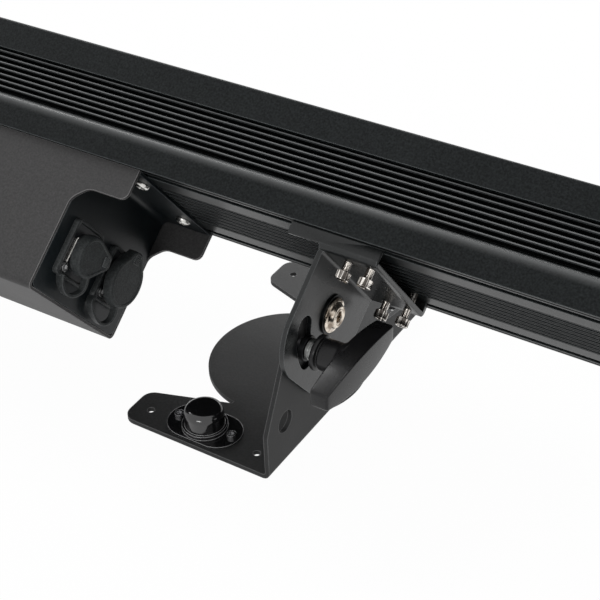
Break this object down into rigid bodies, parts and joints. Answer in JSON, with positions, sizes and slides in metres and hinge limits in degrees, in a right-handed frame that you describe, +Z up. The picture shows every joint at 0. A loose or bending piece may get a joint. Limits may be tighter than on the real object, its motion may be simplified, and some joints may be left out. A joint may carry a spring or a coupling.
{
  "type": "led strobe bar",
  "caption": "Long finned strobe light bar on two bent-plate feet, with arc-slot tilt locks, capped sockets and a connector box",
  "frame": {"origin": "on the floor, in the middle of the assembly's box", "axes": "+X along the bar to the end with the input sockets, +Y to the back, +Z up; the light leans back from straight up by the tilt, so it faces up and to the back"},
  "size_m": [1, 0.1938, 0.1801],
  "materials": {
    "housing_paint": "black satin powder coat on an aluminium extrusion",
    "cap_paint": "black satin powder coat on cast aluminium",
    "sheet_paint": "black fine matte powder coat on sheet steel",
    "panel_paint": "black satin powder coat on sheet steel",
    "saddle_paint": "black fine matte powder coat on sheet steel",
    "foot_paint": "black fine matte powder coat on sheet steel",
    "seal_rubber": "black sealing rubber",
    "strap_rubber": "matte black moulded rubber",
    "cap_rubber": "matte black moulded rubber",
    "window_glass": "clear toughened glass",
    "display_glass": "dark glossy display window",
    "reflector_plating": "bright plated moulding",
    "board_white": "white coated circuit board",
    "lamp_yellow": "yellow phosphor lamp chips",
    "board_green": "green circuit board",
    "supply_case": "bare zinc-coated supply case",
    "socket_plastic": "black moulded socket shell",
    "keypad_plastic": "black satin bezel",
    "button_plastic": "grey black soft buttons",
    "vent_plastic": "black nylon vent plug",
    "cap_screw_steel": "steel socket head screws",
    "panel_screw_steel": "bright steel pan heads",
    "socket_screw_steel": "bright steel small screws",
    "jack_screw_nickel": "nickel plated knurled cap screws",
    "receptacle_plastic": "glossy black moulding",
    "receptacle_screw_black": "blackened steel screws",
    "pivot_bolt_nickel": "warm nickel plated flanged bolt",
    "black_washer": "blackened steel washer",
    "bush_steel": "bright turned steel bush",
    "zinc_steel": "zinc plated steel",
    "handle_plastic": "black moulded plastic"
  },
  "bodies": {
    "bar": {"housing": "housing_paint", "end_cap_right": "cap_paint", "end_cap_left": "cap_paint", "end_cap_gaskets": "seal_rubber", "end_cap_screws": "cap_screw_steel", "window_gasket": "seal_rubber", "window_glass": "window_glass", "reflector": "reflector_plating", "led_board": "board_white", "leds": "lamp_yellow", "box_hood": "sheet_paint", "end_panel_right": "panel_paint", "end_panel_left": "panel_paint", "panel_screws": "panel_screw_steel", "dmx_in_socket": "socket_plastic", "power_in_socket": "socket_plastic", "dmx_out_socket": "socket_plastic", "power_out_socket": "socket_plastic", "socket_screws": "socket_screw_steel", "dmx_in_strap": "strap_rubber", "power_in_strap": "strap_rubber", "dmx_out_strap": "strap_rubber", "power_out_strap": "strap_rubber", "power_supply": "supply_case", "driver_board": "board_green", "keypad_bezel": "keypad_plastic", "display_window": "display_glass", "keypad_board": "board_green", "vent_plug": "vent_plastic", "saddle_right": "saddle_paint", "saddle_left": "saddle_paint", "saddle_screws": "jack_screw_nickel"},
    "foot_right": {"foot_right": "foot_paint", "receptacle_right": "receptacle_plastic", "receptacle_screws_right": "receptacle_screw_black", "pivot_bolt_right": "pivot_bolt_nickel", "pivot_washer_right": "black_washer", "pivot_nut_right": "zinc_steel", "lock_stud_right": "zinc_steel", "lock_washer_right": "black_washer"},
    "lock_handle_right": {"lock_handle_right": "handle_plastic", "lock_bush_right": "bush_steel"},
    "foot_left": {"foot_left": "foot_paint", "receptacle_left": "receptacle_plastic", "receptacle_screws_left": "receptacle_screw_black", "pivot_bolt_left": "pivot_bolt_nickel", "pivot_washer_left": "black_washer", "pivot_nut_left": "zinc_steel", "lock_stud_left": "zinc_steel", "lock_washer_left": "black_washer"},
    "lock_handle_left": {"lock_handle_left": "handle_plastic", "lock_bush_left": "bush_steel"},
    "dmx_in_cap": {"dmx_in_cap": "cap_rubber"},
    "power_in_cap": {"power_in_cap": "cap_rubber"},
    "dmx_out_cap": {"dmx_out_cap": "cap_rubber"},
    "power_out_cap": {"power_out_cap": "cap_rubber"},
    "menu_button": {"menu_button": "button_plastic"},
    "down_button": {"down_button": "button_plastic"},
    "up_button": {"up_button": "button_plastic"},
    "enter_button": {"enter_button": "button_plastic"}
  },
  "joints": [
    {"name": "tilt_right", "type": "hinge", "parent": "bar", "child": "foot_right", "pos_m": [0.3, -0.02407, 0.077], "axis": [1, 0, 0], "range_deg": [-26, 22]},
    {"name": "lock_turn_right", "type": "hinge", "parent": "foot_right", "child": "lock_handle_right", "pos_m": [0.31, -0.05341, 0.07392], "axis": [1, 0, 0], "range_deg": [-50, 30]},
    {"name": "tilt_left", "type": "hinge", "parent": "bar", "child": "foot_left", "pos_m": [-0.3, -0.02407, 0.077], "axis": [1, 0, 0], "range_deg": [-26, 22]},
    {"name": "lock_turn_left", "type": "hinge", "parent": "foot_left", "child": "lock_handle_left", "pos_m": [-0.31, -0.05341, 0.07392], "axis": [1, 0, 0], "range_deg": [-50, 30]},
    {"name": "dmx_in_cap_pull", "type": "slide", "parent": "bar", "child": "dmx_in_cap", "axis": [1, 0, 0], "range_m": [0, 0.014], "deforming": ["dmx_in_strap"]},
    {"name": "power_in_cap_pull", "type": "slide", "parent": "bar", "child": "power_in_cap", "axis": [1, 0, 0], "range_m": [0, 0.014], "deforming": ["power_in_strap"]},
    {"name": "dmx_out_cap_pull", "type": "slide", "parent": "bar", "child": "dmx_out_cap", "axis": [-1, 0, 0], "range_m": [0, 0.014], "deforming": ["dmx_out_strap"]},
    {"name": "power_out_cap_pull", "type": "slide", "parent": "bar", "child": "power_out_cap", "axis": [-1, 0, 0], "range_m": [0, 0.014], "deforming": ["power_out_strap"]},
    {"name": "menu_press", "type": "slide", "parent": "bar", "child": "menu_button", "axis": [0, -0.6157, 0.788], "range_m": [0, 0.0012], "stiffness_N_per_m": 300, "springref_m": -0.002},
    {"name": "down_press", "type": "slide", "parent": "bar", "child": "down_button", "axis": [0, -0.6157, 0.788], "range_m": [0, 0.0012], "stiffness_N_per_m": 300, "springref_m": -0.002},
    {"name": "up_press", "type": "slide", "parent": "bar", "child": "up_button", "axis": [0, -0.6157, 0.788], "range_m": [0, 0.0012], "stiffness_N_per_m": 300, "springref_m": -0.002},
    {"name": "enter_press", "type": "slide", "parent": "bar", "child": "enter_button", "axis": [0, -0.6157, 0.788], "range_m": [0, 0.0012], "stiffness_N_per_m": 300, "springref_m": -0.002}
  ]
}
